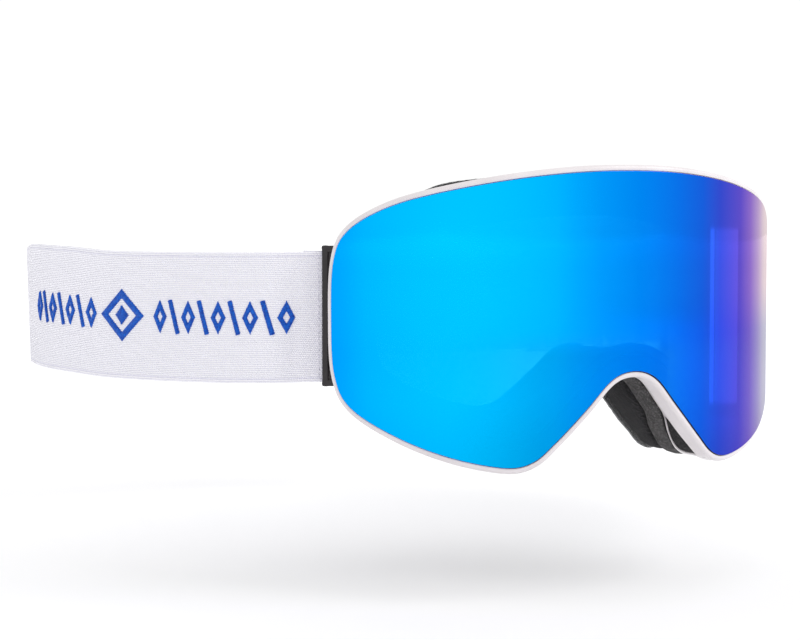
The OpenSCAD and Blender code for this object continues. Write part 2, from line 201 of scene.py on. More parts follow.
def frame_end(x):
    """Where the frame ends, behind each outline station, at the distance x from the middle."""
    nose = FRONT_Y + np.interp(OUT[:, 1], NOSE_EDGE[:, 0], NOSE_EDGE[:, 1])
    y = blurred(face_y(x) + (nose - face_y(x)) * NOSE, np.linalg.norm(OUT[1] - OUT[0]), 1.6)
    return soft_max(y, at(WALL_D, WALL_R)[:, 1] + 0.8, 0.6)


def stations(low, high, top):
    """The outline stations between two rolled-out x, in the upper or the lower half, from left to right."""
    pick = np.where((OUT[:, 0] > low) & (OUT[:, 0] < high) & ((OUT[:, 1] > 0) == top))[0]
    return pick[np.argsort(OUT[pick, 0])]


def with_y(p, y):
    q = p.copy()
    q[:, 1] = y
    return q


# ---- Meshes ----
def grid_quads(rows, m, closed=False):
    """The quads between rows of m points each; a row closes on itself, and the rows do if closed is set."""
    i, k = np.meshgrid(np.arange(rows if closed else rows - 1), np.arange(m), indexing="ij")
    i2, k2 = (i + 1) % rows, (k + 1) % m
    return np.stack([i * m + k, i * m + k2, i2 * m + k2, i2 * m + k], -1).reshape(-1, 4)


def closed_ring(rings):
    """(vertices, faces) of a tube that closes on itself; each of the rings runs the whole way round."""
    return np.stack(rings, 1).reshape(-1, 3), grid_quads(len(rings[0]), len(rings), True)


def capped_tube(sections):
    """A tube with two flat ends; each section lists its outer points, then the inner ones backwards."""
    n, m = len(sections), len(sections[0])
    j = np.arange(m // 2 - 1)
    cap = np.stack([j, m - 1 - j, m - 2 - j, j + 1], 1)
    return sections.reshape(-1, 3), np.vstack([grid_quads(n, m), cap, cap[:, ::-1] + (n - 1) * m])


def fillet(corners, cuts, steps=4):
    """Rounds the corners of a closed section; corners[k] and the result hold one array for the whole ring."""
    out = []
    for k, b in enumerate(corners):
        a, c = corners[k - 1], corners[(k + 1) % len(corners)]
        la = np.linalg.norm(a - b, axis=1, keepdims=True)
        lc = np.linalg.norm(c - b, axis=1, keepdims=True)
        p = b + (a - b) * np.minimum(cuts[k] / la, 0.48)
        q = b + (c - b) * np.minimum(cuts[k] / lc, 0.48)
        for t in np.linspace(0, 1, steps + 1):
            out.append((1 - t) ** 2 * p + 2 * t * (1 - t) * b + t * t * q)
    return out


def densify(rings, step):
    """Adds rings between those that are further apart than step."""
    out = []
    for k, a in enumerate(rings):
        b = rings[(k + 1) % len(rings)]
        n = max(1, int(np.ceil(np.linalg.norm(b - a, axis=1).max() / step)))
        out += [a + (b - a) * j / n for j in range(n)]
    return out


def triangles(f):
    """The faces cut into triangles; f is an array of quads, or a list of faces of any size."""
    if isinstance(f, list):
        return np.array([(p[0], p[k], p[k + 1]) for p in f for k in range(1, len(p) - 1)])
    return np.vstack([f[:, :3], f[:, [0, 2, 3]]])


def vertex_normals(v, f):
    t = triangles(f)
    n = np.cross(v[t[:, 1]] - v[t[:, 0]], v[t[:, 2]] - v[t[:, 0]])
    out = np.zeros_like(v)
    for k in range(3):
        np.add.at(out, t[:, k], n)
    return unit(out)


def outward(v, f):
    """The faces of a closed mesh, turned so that they face outwards."""
    t = triangles(f)
    volume = np.einsum("ij,ij->i", v[t[:, 0]], np.cross(v[t[:, 1]], v[t[:, 2]])).sum()
    if volume > 0:
        return f
    return [p[::-1] for p in f] if isinstance(f, list) else f[:, ::-1]


def join(parts):
    """One (vertices, faces) from several; quads and triangles may mix."""
    vs, fs, base = [], [], 0
    for v, f in parts:
        vs.append(v)
        fs += [[int(q) + base for q in p] for p in f]
        base += len(v)
    return np.vstack(vs), fs


def make(name, v, f, material=None, closed=True, normals=None, uv=None):
    """A Blender mesh object from millimetre vertices; a closed one is smooth and faces outwards."""
    v = np.asarray(v, float)
    f = outward(v, f) if closed else f
    mesh = bpy.data.meshes.new(name)
    mesh.from_pydata((v * MM).tolist(), [], f if isinstance(f, list) else f.tolist())
    mesh.polygons.foreach_set("use_smooth", np.full(len(mesh.polygons), closed))
    if uv is not None:
        layer = mesh.uv_layers.new(name="UVMap")
        loops = np.zeros(len(mesh.loops), np.int32)
        mesh.loops.foreach_get("vertex_index", loops)
        layer.data.foreach_set("uv", np.asarray(uv)[loops].astype(np.float32).ravel())
    if normals is not None:
        mesh.normals_split_custom_set_from_vertices(np.asarray(normals).tolist())
    obj = bpy.data.objects.new(name, mesh)
    bpy.context.scene.collection.objects.link(obj)
    if material is not None:
        mesh.materials.append(material)
    return obj


def settle(obj):
    """Applies the modifiers."""
    bpy.context.view_layer.objects.active = obj
    obj.select_set(True)
    for m in list(obj.modifiers):
        bpy.ops.object.modifier_apply(modifier=m.name)
    obj.select_set(False)
    return obj


def combine(obj, others, operation):
    """Boolean union or difference of obj with closed meshes, given as (vertices, faces)."""
    for k, (v, f) in enumerate(others):
        tool = make(f"tool{k}", v, f)
        m = obj.modifiers.new("cut", "BOOLEAN")
        m.operation, m.solver, m.object = operation, "MANIFOLD", tool
        settle(obj)
        bpy.data.objects.remove(tool)
    return obj


def crisp(obj, angle=35):
    """Keeps flat faces flat beside rounded edges."""
    obj.data.polygons.foreach_set("use_smooth", np.ones(len(obj.data.polygons), bool))
    obj.data.set_sharp_from_angle(angle=math.radians(angle))
    m = obj.modifiers.new("normals", "WEIGHTED_NORMAL")
    m.keep_sharp = True
    return obj


def piece(obj, body, slot, *nodes):
    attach(obj, body)
    if nodes:
        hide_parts(*nodes)
    return obj


def arc(centre, r, a0, a1, n=14):
    a = np.radians(np.linspace(a0, a1, n))
    return np.stack([centre[0] + r * np.cos(a), centre[1] + r * np.sin(a)], 1)


def circle(centre, r, n):
    return arc(centre, r, 0, 360, n + 1)[:-1]


def prism(points, z0, z1):
    """A polygon in the XY plane, extruded from z0 to z1, as (vertices, faces)."""
    n = len(points)
    v = np.vstack([np.column_stack([points, np.full(n, z)]) for z in (z0, z1)])
    sides = [[k, (k + 1) % n, n + (k + 1) % n, n + k] for k in range(n)]
    return v, [list(range(n - 1, -1, -1)), list(range(n, 2 * n))] + sides


def slot_shape(length, depth, r, steps=8):
    """A rounded rectangle centred on the origin."""
    x, y = length / 2 - r, depth / 2 - r
    centres = ((x, y), (-x, y), (-x, -y), (x, -y))
    return np.vstack([arc(c, r, 90 * k, 90 * k + 90, steps) for k, c in enumerate(centres)])


def placed(v, angle, origin):
    """Points turned about the Z axis and then moved to the plan point origin."""
    v = np.array(v, float)
    c, s = np.cos(angle), np.sin(angle)
    x, y = v[..., 0] * c - v[..., 1] * s, v[..., 0] * s + v[..., 1] * c
    v[..., 0], v[..., 1] = x + origin[0], y + origin[1]
    return v


def upper(p):
    """The points with those below the XY plane flipped up, for parts that are the same at both ends."""
    return np.concatenate([p[..., :2], np.abs(p[..., 2:])], -1)


def mirrored(v, side):
    return v * np.array([side, 1, 1])


# ---- Rounded plastic parts from distance fields ----
def within(a, b, r):
    """The field of the part where both a and b are negative, with its edge rounded by r."""
    return np.minimum(np.maximum(a, b), 0) + np.hypot(np.maximum(a, 0), np.maximum(b, 0)) - r


def box_field(p, lo, hi, r):
    lo, hi = np.array(lo, float), np.array(hi, float)
    q = np.abs(p - (lo + hi) / 2) - ((hi - lo) / 2 - r)
    return np.linalg.norm(np.maximum(q, 0), axis=-1) + np.minimum(q.max(-1), 0) - r


def slab_field(p, lo, hi, corner, r):
    """A plate that faces -Y, with rounded corners seen from the front and softly rounded edges."""
    lo, hi = np.array(lo, float), np.array(hi, float)
    q = np.abs(p - (lo + hi) / 2) - (hi - lo) / 2
    flat = q[..., [0, 2]] + corner
    a = np.linalg.norm(np.maximum(flat, 0), axis=-1) + np.minimum(flat.max(-1), 0) - corner + r
    return within(a, q[..., 1] + r, r)


def rod_field(p, x, y, radius, z0, z1, r=0.15):
    a = np.hypot(p[..., 0] - x, p[..., 1] - y) - radius + r
    return within(a, np.abs(p[..., 2] - (z0 + z1) / 2) - (z1 - z0) / 2 + r, r)


def field_mesh(field, lo, hi, step):
    """The zero surface of a distance field, as a closed quad mesh whose points lie on the surface."""
    axes = [np.arange(a, b + step, step) for a, b in zip(lo, hi)]
    grid = np.stack(np.meshgrid(*axes, indexing="ij"), -1)
    d = field(grid)
    nx, ny, nz = (n - 1 for n in d.shape)

    def corner(o):
        return d[o[0] : nx + o[0], o[1] : ny + o[1], o[2] : nz + o[2]]

    offsets = [np.array(o) for o in np.ndindex(2, 2, 2)]
    inside = sum((corner(o) < 0).astype(int) for o in offsets)
    active = (inside > 0) & (inside < 8)
    index = np.full(active.shape, -1)
    index[active] = np.arange(active.sum())
    total, count = np.zeros(active.shape + (3,)), np.zeros(active.shape)
    for o in offsets:
        for axis in range(3):
            if o[axis]:
                continue
            e = o.copy()
            e[axis] = 1
            a, b = corner(o), corner(e)
            cross = (a < 0) != (b < 0)
            t = np.where(cross, a / np.where(cross, a - b, 1), 0)
            total += np.where(cross[..., None], o + t[..., None] * (e - o), 0)
            count += cross
    cell = np.argwhere(active)
    v = np.array([ax[0] for ax in axes]) + step * (cell + total[active] / count[active][:, None])
    faces = []
    for axis in range(3):
        # One quad round each grid edge that crosses the surface
        head, tail = (np.take(d < 0, np.arange(k, d.shape[axis] - 1 + k), axis) for k in (0, 1))
        edges = np.argwhere(head != tail)
        quad = []
        for du, dw in ((0, 0), (-1, 0), (-1, -1), (0, -1)):
            cells = edges.copy()
            cells[:, (axis + 1) % 3] += du
            cells[:, (axis + 2) % 3] += dw
            quad.append(index[tuple(cells.T)])
        quad = np.stack(quad, 1)
        faces.append(np.where(head[tuple(edges.T)][:, None], quad, quad[:, ::-1]))
    eps = step * 0.2
    for _ in range(3):
        here = field(v)
        slope = np.stack([field(v + eps * e) - field(v - eps * e) for e in np.eye(3)], -1) / (2 * eps)
        v = v - slope * (here / np.maximum((slope**2).sum(-1), 0.3))[:, None]
    return v, np.vstack(faces)


# ---- Materials ----
def linear(r, g, b):
    """A linear colour from 0-255 display values."""
    c = np.array([r, g, b]) / 255
    c = np.where(c <= 0.04045, c / 12.92, ((c + 0.055) / 1.055) ** 2.4)
    return (*c.tolist(), 1.0)


class Shader:
    """A small helper that builds the nodes of one material, or of the world."""

    def __init__(self, name, home=bpy.data.materials):
        self.owner = home.new(name)
        self.owner.use_nodes = True
        self.tree = self.owner.node_tree
        self.tree.nodes.clear()

    def node(self, kind, inputs=None, **properties):
        n = self.tree.nodes.new("ShaderNode" + kind)
        for k, v in properties.items():
            setattr(n, k, v)
        for k, v in (inputs or {}).items():
            if isinstance(v, bpy.types.NodeSocket):
                self.tree.links.new(v, n.inputs[k])
            else:
                n.inputs[k].default_value = v
        return n

    def math(self, operation, a, b=0.0):
        return self.node("Math", {0: a, 1: b}, operation=operation).outputs[0]

    def add(self, a, b):
        return self.math("ADD", a, b)

    def mul(self, a, b):
        return self.math("MULTIPLY", a, b)

    def noise(self, size, detail=2.0, stretch=(1, 1, 1)):
        """Noise over about size millimetres, from 0 to 1."""
        place = self.node("TexCoord").outputs["Object"]
        place = self.node("Mapping", {"Vector": place, "Scale": stretch}).outputs[0]
        inputs = {"Vector": place, "Scale": 1000.0 / size, "Detail": detail}
        return self.node("TexNoise", inputs).outputs["Fac"]

    def cells(self, size):
        place = self.node("TexCoord").outputs["Object"]
        return self.node("TexVoronoi", {"Vector": place, "Scale": 1000.0 / size}).outputs["Distance"]

    def ramp(self, fac, stops):
        n = self.node("ValToRGB", {"Fac": fac})
        points = n.color_ramp.elements
        while len(points) < len(stops):
            points.new(0.5)
        for e, (position, colour) in zip(points, stops):
            e.position, e.color = position, colour
        return n.outputs["Color"]

    def grey(self, fac, low, high, start=0.0, stop=1.0):
        """Goes smoothly from low to high while fac goes from start to stop."""
        inputs = {0: fac, 1: start, 2: stop, 3: low, 4: high}
        return self.node("MapRange", inputs, interpolation_type="SMOOTHSTEP").outputs[0]

    def bump(self, height, depth, strength=1.0, normal=None):
        inputs = {"Height": height, "Distance": depth * MM, "Strength": strength}
        if normal is not None:
            inputs["Normal"] = normal
        return self.node("Bump", inputs).outputs[0]

    def tones(self, fac, dark, light):
        return self.ramp(fac, [(0.3, dark), (0.7, light)])

    def mix(self, fac, a, b):
        return self.node("MixShader", {0: fac, 1: a, 2: b}).outputs[0]

    def finish(self, surface, output="OutputMaterial"):
        self.node(output, {"Surface": surface})
        return self.owner

    def solid(self, colour, roughness, extra):
        """Ends an opaque material; extra holds the principled shader's other inputs."""
        inputs = {"Base Color": colour, "Roughness": roughness, **extra}
        return self.finish(self.node("BsdfPrincipled", inputs).outputs[0])


def moulded(name, dark, light, roughness, grain, depth, extra=None):
    """Moulded plastic: fine grain, uneven gloss and a slight change of tone."""
    s = Shader(name)
    dark, light = linear(*dark), linear(*light)
    gloss = s.grey(s.noise(6, 5), roughness - 0.06, roughness + 0.08)
    extra = {"Normal": s.bump(s.noise(grain, 3), depth), **(extra or {})}
    return s.solid(s.tones(s.noise(14, 4), dark, light), gloss, extra)


def foam_material(name, dark, light, cell, sheen):
    """Open-cell foam: pores of about the given size, with a few paler grains between them."""
    s = Shader(name)
    dark, light = linear(*dark), linear(*light)
    pores = s.cells(cell)
    grains = s.grey(s.noise(0.62, 2), 0.0, 0.5, 0.5, 0.72)
    speckle = s.add(s.mul(s.noise(1.6, 3), 0.5), grains)
    rough = s.bump(s.noise(cell * 1.7, 4), 0.25)
    grain = tuple(2.2 * c for c in light[:3]) + (1,)
    return s.solid(s.ramp(speckle, [(0.15, dark), (0.4, light), (0.75, grain)]), 0.95, {
        "Specular IOR Level": 0.25,
        "Sheen Weight": sheen,
        "Sheen Roughness": 0.5,
        "Normal": s.bump(pores, 0.35, normal=rough),
    })


def webbing_material():
    """Woven elastic: the ribs are in the mesh, the weft that crosses them is here. UV is in millimetres."""
    s = Shader("strap_webbing")
    uv = s.node("SeparateXYZ", {0: s.node("UVMap").outputs[0]})
    along, across = uv.outputs[0], uv.outputs[1]
    row = s.math("FLOOR", s.math("DIVIDE", across, RIB))
    phase = s.add(s.mul(along, 2 * math.pi / 0.75), s.mul(row, math.pi))
    weft = s.grey(s.math("SINE", phase), 0.0, 1.0, -1.0, 1.0)
    rib = s.math("ABSOLUTE", s.math("SINE", s.mul(across, math.pi / RIB)))
    height = s.add(s.mul(weft, 0.5), s.mul(rib, 1.2))
    height = s.add(height, s.mul(s.noise(0.5, 3), 0.6))
    # The woven edge: one looser row close to each edge of the band
    to_edge = s.math("SUBTRACT", STRAP_W / 2 - 1.5, s.math("ABSOLUTE", across))
    selvedge = s.grey(s.math("ABSOLUTE", to_edge), 1.0, 0.0, 0.1, 0.34)
    # Painted shade: the tone is darker between the weft threads and in the valleys between the ribs; the
    # noise adds random tone
    tone = s.add(s.mul(weft, 0.2), s.mul(s.noise(0.7, 3), 0.5))
    tone = s.add(tone, s.mul(rib, 0.3))
    tone = s.math("SUBTRACT", tone, s.mul(selvedge, s.grey(weft, 0.15, 0.5)))
    return s.solid(s.ramp(tone, [(0.0, linear(226, 224, 236)), (0.6, linear(255, 254, 255))]), 0.8, {
        "Specular IOR Level": 0.3,
        "Sheen Weight": 0.25,
        "Sheen Roughness": 0.4,
        "Emission Color": (0, 0, 1, 1),  # painted glow: the band gives off a faint blue light of its own, standing in for the optical brightener of white textiles
        "Emission Strength": 0.045,
        "Normal": s.bump(height, 0.16),
    })


def thread_material(name, dark, light):
    """Sewing thread with the twist as a fine bump."""
    s = Shader(name)
    return s.solid(s.tones(s.noise(0.8, 3), linear(*dark), linear(*light)), 0.5, {
        "Specular IOR Level": 0.25,
        "Sheen Weight": 0.1,
        "Normal": s.bump(s.noise(0.12, 2, (1, 1, 3)), 0.04),
    })


def metal(name, colour, roughness, stretch):
    """Bare metal with fine scratches; stretch makes them run one way."""
    s = Shader(name)
    dark = tuple(0.8 * c for c in colour[:3]) + (1,)
    gloss = s.grey(s.noise(0.4, 4, stretch), roughness - 0.08, roughness + 0.12)
    bump = s.bump(s.noise(0.25, 2, stretch), 0.01)
    return s.solid(s.tones(s.noise(3, 5), dark, colour), gloss, {"Metallic": 1.0, "Normal": bump})


# The mirror's colour by the cosine of the angle at which it is seen
MIRROR_TONES = [
    (0.0, 234, 216, 220), (0.05, 224, 204, 216), (0.125, 190, 163, 209), (0.215, 145, 110, 205),
    (0.30, 98, 80, 205), (0.427, 54, 76, 211), (0.51, 24, 96, 226), (0.60, 10, 114, 237),
    (0.71, 0, 133, 241), (0.80, 0, 151, 248), (0.86, 0, 167, 253), (0.90, 0, 180, 255),
    (0.95, 0, 188, 255), (1.0, 0, 195, 255),
]


def mirror_material():
    """An interference mirror: cyan seen square on, then blue and violet, pale at a grazing angle."""
    s = Shader("mirror_lens")
    g = s.node("NewGeometry")
    place = s.node("SeparateXYZ", {0: s.node("TexCoord").outputs["Object"]})
    x, z = (s.mul(place.outputs[k], 1 / MM) for k in ("X", "Z"))
    facing = s.node("VectorMath", {0: g.outputs["Normal"], 1: g.outputs["Incoming"]}, operation="DOT_PRODUCT")
    facing = s.math("ABSOLUTE", facing.outputs["Value"])
    # The coating is a little thicker on one half, which shifts the colour
    shift = s.grey(x, 0.0, 0.12, -60, 0)
    colour = s.ramp(s.math("SUBTRACT", facing, shift), [(p, linear(*rgb)) for p, *rgb in MIRROR_TONES])
    # The lower part and the far side are deeper in tone
    low = s.mul(s.grey(z, 0.0, 1.0, 12, -14), s.grey(x, 0.3, 1.3, -80, 45))
    low = s.node("MixRGB", {0: low, 1: (1, 1, 1, 1), 2: (0.68, 0.79, 0.93, 1)}, blend_type="MIX")
    level = s.mul(s.grey(z, 1.0, 0.87, 34, 14), s.grey(x, 1.0, 0.92, 4, 24))
    colour = s.node("MixRGB", {0: 1.0, 1: colour, 2: low.outputs[0]}, blend_type="MULTIPLY").outputs[0]
    shine = s.node("BsdfGlossy", {
        "Color": s.node("VectorMath", {0: colour, "Scale": level}, operation="SCALE").outputs[0],
        "Roughness": s.grey(s.noise(25, 3), 0.03, 0.06),
        "Normal": s.bump(s.noise(30, 1), 0.004),
    }).outputs[0]
    # A little light comes through the lower middle, where the coating is thinnest
    through = s.node("BsdfTransparent", {"Color": (0.05, 0.85, 1.0, 1)}).outputs[0]
    clear = s.mul(s.grey(x, 0.02, 0.24, -64, -26), s.grey(z, 1.0, 0.12, -13, -2))
    clear = s.mul(clear, s.grey(x, 1.0, 0.3, 8, 26))
    smoke = s.node("BsdfTransparent", {"Color": linear(150, 128, 118)}).outputs[0]
    back_shine = s.node("BsdfGlossy", {"Color": (0.5, 0.4, 0.36, 1), "Roughness": 0.05}).outputs[0]
    front, back = s.mix(clear, shine, through), s.mix(0.08, smoke, back_shine)
    return s.finish(s.mix(g.outputs["Backfacing"], front, back))


def clear_material(name, tint, shine):
    """Thin clear plastic: mostly see-through, with a faint reflection and a trace of haze."""
    s = Shader(name)
    through = s.node("BsdfTransparent", {"Color": linear(*tint)}).outputs[0]
    gloss = s.node("BsdfGlossy", {"Roughness": s.grey(s.noise(9, 4), 0.02, 0.09)}).outputs[0]
    fac = s.mul(s.node("Fresnel", {"IOR": 1.5}).outputs[0], shine)
    return s.finish(s.mix(fac, through, gloss))


RIBS = 70
RIB = STRAP_W / RIBS
WHITE = moulded("white_plastic_frame", (216, 210, 212), (228, 222, 224), 0.30, 0.35, 0.012,
                {"Coat Weight": 0.25, "Coat Roughness": 0.15})
LOOP_WHITE = moulded("white_plastic_loops", (228, 226, 230), (240, 238, 242), 0.36, 0.4, 0.02)
BLACK = moulded("black_plastic", (20, 16, 19), (34, 28, 32), 0.4, 0.3, 0.02)
CARRIER = moulded("black_carrier", (12, 12, 14), (20, 20, 23), 0.45, 0.4, 0.02)
MIRROR = mirror_material()
LENS_BACK = clear_material("lens_back", (215, 205, 200), 0.8)
CLEAR = clear_material("clear_lens", (238, 243, 246), 1.0)
FIRM = foam_material("foam_firm", (48, 46, 47), (80, 78, 78), 0.55, 0.05)
SOFT = foam_material("foam_soft", (19, 18, 20), (38, 37, 39), 0.7, 0.03)
VENT = foam_material("foam_vent", (22, 21, 23), (44, 43, 44), 0.8, 0.0)
GASKET = foam_material("foam_gasket", (16, 16, 18), (50, 50, 54), 0.4, 0.1)
FLEECE = foam_material("fleece", (12, 12, 14), (34, 34, 38), 0.35, 1.0)
WEBBING = webbing_material()
BLUE_THREAD = thread_material("blue_thread", (0, 58, 160), (2, 100, 208))
WHITE_THREAD = thread_material("white_thread", (205, 203, 216), (240, 238, 248))
MAGNET = metal("nickel_magnet", (0.72, 0.70, 0.66, 1), 0.24, (1, 1, 1))
STEEL = metal("steel", (0.55, 0.56, 0.58, 1), 0.34, (1, 1, 0.1))
SILICONE = moulded("silicone", (178, 194, 214), (205, 216, 230), 0.3, 0.5, 0.03,
                   {"Subsurface Weight": 0.4, "Subsurface Radius": (0.002, 0.002, 0.002)})


# ---- Frame ----
MAGNET_IN, MAGNET_HOLE_R = 2.9, 2.3


def magnet_places():
    """The magnets' centres on the lens surface rolled out flat: five on each side."""
    p = rolled_out(3)
    q = (p - MAGNET_IN * outline_normals(p))[[7, 16, 24, 33, 45]]
    return np.vstack([q, q * [-1, 1]])


def radial_disc(q, radius, r0, r1):
    """A disc on the lens cylinder at q, from radius r0 to r1."""
    v, f = prism(circle((0, 0), radius, 40), r0, r1)
    return placed(np.stack([v[:, 0], -v[:, 2], v[:, 1] + q[1]], 1), q[0] / LENS_R, (0, AXIS_Y)), f


# The nose vent, on the nose flank: rolled-out x, and the depths of its front and rear edges
LEAF = np.array([
    (20.9, 10.9, 11.2), (22.5, 10.0, 12.2), (24.9, 9.8, 14.4), (27.2, 9.8, 16.6), (29.5, 9.8, 18.5),
    (31.3, 9.9, 19.7), (33.2, 10.1, 20.5), (35.4, 10.8, 20.7), (37.0, 13.0, 19.4),
])


def leaf_solid(side, d_out, d_in, inset):
    """A solid with the nose vent's outline, from the offset d_out beyond the wall's outer face to d_in."""
    half = stations(0, np.inf, False)
    x = np.linspace(LEAF[0, 0] + inset, LEAF[-1, 0] - inset, 40)
    front = np.interp(x, LEAF[:, 0], LEAF[:, 1]) + FRONT_Y + inset
    rear = np.interp(x, LEAF[:, 0], LEAF[:, 2]) + FRONT_Y - inset
    rear = np.maximum(rear, front + 0.15)
    share = np.linspace(0, 1, 9)
    section = []
    for d, order in ((d_out, share), (d_in, share[::-1])):
        p = at(WALL_D + d, WALL_R)[half]
        px, pz = (np.interp(x, OUT[half, 0], p[:, k]) for k in (0, 2))
        section += [np.stack([px, front + (rear - front) * t, pz], 1) for t in order]
    v, f = capped_tube(np.stack(section, 1))
    v = mirrored(v, side)
    return v, outward(v, f)


def ear(side, z):
    """One lug of the hinge, from the height z up; side is 1 on the right and -1 on the left."""
    p = np.vstack([arc(PIN, EAR_R, 75, 255, 21), PIN + [(4.2, -5), (4.2, -3), (2.6, -1.2)]])
    return prism(p * [side, 1], z, z + EAR_T)


def vent_slot(angle, length, z0, z1):
    """A cutter for one slot in the top or bottom wall."""
    v, f = prism(slot_shape(length, 5.5, 2.2), z0, z1)
    return placed(v + [0, 2.75 - 91, 0], math.radians(angle), (0, AXIS_Y)), f


def frame_shell():
    """The frame: a channel section round the lens outline, with the hinge lugs, vents and magnet seats."""
    e, g = at(WALL_D, WALL_R), at(WALL_D - WALL_T, WALL_R)
    outer, inner = e.copy(), g.copy()
    lip = 0.04 + 0.12 * ramp((OUT[:, 0] - 10) / 50) * (OUT[:, 1] > 0) + 0.12 * NOSE
    outer[:, 1], inner[:, 1] = frame_end(e[:, 0]), frame_end(g[:, 0])
    corners = [
        at(lip, LENS_R - 0.75), at(lip + 0.1, LENS_R - 0.4), at(lip + 1.25, LENS_R - 0.35),
        at(LIP_GAP + RIM_W, LENS_R - 1.2), at(LIP_GAP + RIM_W, SEAT_R - 0.6), e, outer, inner, g,
        at(SEAT_D, SEAT_R - SEAT_T), at(SEAT_D, SEAT_R), at(lip, SEAT_R),
    ]
    rings = fillet(corners, [0.2, 0.35, 0.8, 0.8, 1.6, 1.2, 0.7, 0.7, 0.8, 0.5, 0.4, 0.4], 4)
    v, f = closed_ring(rings)
    obj = make("frame_shell", v, f, WHITE)
    combine(obj, [ear(side, z) for side in (1, -1) for z in (EAR_Z, -EAR_Z - EAR_T)], "UNION")
    cuts = [vent_slot(a, 17, 25, 65) for a in (-37, -23, -8, 8, 23, 37)]
    cuts += [vent_slot(a, 12, -60, -30) for a in (-40, -30, 30, 40)]
    cuts += [leaf_solid(side, 3.0, -WALL_T - 2.0, 0.0) for side in (1, -1)]
    cuts += [radial_disc(q, MAGNET_HOLE_R, SEAT_R - 1.55, SEAT_R + 1) for q in magnet_places()]
    cuts += [prism(circle(PIN * [side, 1], PIN_R + 0.02, 32), -30, 30) for side in (1, -1)]
    combine(obj, cuts, "DIFFERENCE")
    piece(crisp(obj), MASK, "white_frame", "frame")


frame_shell()


# ---- Lens group ----
def panel(name, d, r, thickness, edge, front_material, back_material, edge_material):
    """A bent panel with a rounded edge, filled from its rim to a point above the nose."""
    centre = np.array([0.0, 15.0])
    rim, rim_in = OUT + d * OUT_N, OUT + (d - edge) * OUT_N
    shares = np.concatenate([[1], 1 - np.linspace(0, 1, 26)[1:-1] ** 1.15])
    front = [cylinder(centre + s * (rim_in - centre), r) for s in shares[::-1]]
    side = [cylinder(rim, r - edge), cylinder(rim, r - thickness + edge)]
    back = [cylinder(centre + s * (rim_in - centre), r - thickness) for s in shares]
    rings = front + side + back
    v = np.vstack(rings + [cylinder(centre[None], q) for q in (r, r - thickness)])
    m, n, edge_row = len(rings), STATIONS, len(front)
    i, j = np.arange(n), (np.arange(n) + 1) % n
    caps = [np.stack([np.full(n, m * n), j, i], 1)]
    caps.append(np.stack([np.full(n, m * n + 1), (m - 1) * n + i, (m - 1) * n + j], 1))
    normals = unit((v - [0, AXIS_Y, 0]) * [1, 1, 0])
    outwards = unit(cylinder(OUT + OUT_N, r) - cylinder(OUT, r))
    normals[edge_row * n : (edge_row + 2) * n] = np.tile(outwards, (2, 1))
    is_back = np.zeros(len(v), bool)
    is_back[(edge_row + 2) * n : m * n] = is_back[-1] = True
    normals[is_back] *= -1
    f = grid_quads(m, n).tolist() + np.vstack(caps).tolist()
    obj = make(name, v, f, front_material, normals=normals)
    obj.data.materials.append(back_material)
    obj.data.materials.append(edge_material)
    row = np.append(np.repeat(np.arange(m - 1), n), np.repeat([0, m], n))
    which = (row > edge_row).astype(np.int32)
    # Painted shade: the edge is black at the nose and along the top on the right, where the gap beside the
    # rim lies in shade, and like the front elsewhere
    dark = np.tile((NOSE > 0.3) | ((OUT[:, 0] > 12) & (OUT[:, 1] > 0)), m + 1)
    which[(row >= edge_row) & (row <= edge_row + 1) & dark] = 2
    obj.data.polygons.foreach_set("material_index", which)
    return obj


def swept(name, corners, cuts, material, steps=3, grain=0.0, size=1.0, spacing=None, seed=1):
    """A closed ring with the given section, rounded by cuts and pitted by grain."""
    rings = fillet(corners, cuts, steps)
    if spacing:
        rings = densify(rings, spacing)
    v, f = closed_ring(rings)
    if grain:
        f = outward(v, f)
        v = v + vertex_normals(v, f) * (grain * lattice_noise(v, size, seed))[:, None]
    return make(name, v, f, material)


BACK_R = LENS_R - LENS_T
INNER_R = BACK_R - LENS_GAP
lens = panel("lens_mirror", 0.0, LENS_R, LENS_T, 0.18, MIRROR, LENS_BACK, BLACK)
piece(lens, "lens", "mirror_lens", "lens_outer")
inner = panel("lens_clear", -5.9, INNER_R, INNER_T, 0.12, CLEAR, CLEAR, CLEAR)
piece(inner, "lens", "clear_lens", "lens_inner")
carrier = swept("lens_carrier_ring", [
    at(-0.1, BACK_R - 0.1), at(-0.1, SEAT_R + 1.2), at(-0.8, CARRIER_R), at(-5.5, CARRIER_R),
    at(-5.5, BACK_R - 0.1),
], [0.2, 0.5, 0.4, 0.4, 0.3], CARRIER)
pads = [radial_disc(q, MAGNET_HOLE_R, CARRIER_R - 1, CARRIER_R + 1.05) for q in magnet_places()]
combine(carrier, pads, "DIFFERENCE")
piece(crisp(carrier), "lens", "black_plastic", "lens_carrier")
gasket = swept("lens_gasket_foam", [
    at(-5.8, BACK_R - 0.12), at(-5.8, INNER_R + 0.12), at(-9.2, INNER_R + 0.12), at(-9.2, BACK_R - 0.12),
], [0.5, 0.5, 0.8, 0.8], GASKET, grain=0.06, spacing=0.8)
piece(gasket, "lens", "black_foam", "lens_gasket")


# ---- Face foam ----
# Where the foam's outer edge draws in along the bottom, stands proud at the brow and draws in at the temples
HEM = ramp((FROM_MIDDLE - 24) / 8) * (1 - ramp((FROM_MIDDLE - 46) / 12)) * (OUT[:, 1] < 0)
SHOULDER = np.exp(-(((FROM_MIDDLE - 48) / 17) ** 2)) * ramp(OUT[:, 1] / 10)
TEMPLE = np.exp(-(((FROM_MIDDLE - 92) / 10) ** 2)) * ramp(OUT[:, 1] / 10)
O_EDGE = at(WALL_D + 0.8 - 0.8 * HEM + 0.9 * SHOULDER - 2.3 * TEMPLE, SEAT_R - SEAT_T)
I_EDGE = at(0, LENS_R) * [0.8, 1, 0.68] + [0, 0, 4 * (1 - 0.68)]
FRAME_O = frame_end(O_EDGE[:, 0]) + 0.1
FRAME_I = frame_end(I_EDGE[:, 0]) + 0.1
FRAME_I = FRAME_I + (FRAME_O - FRAME_I) * NOSE
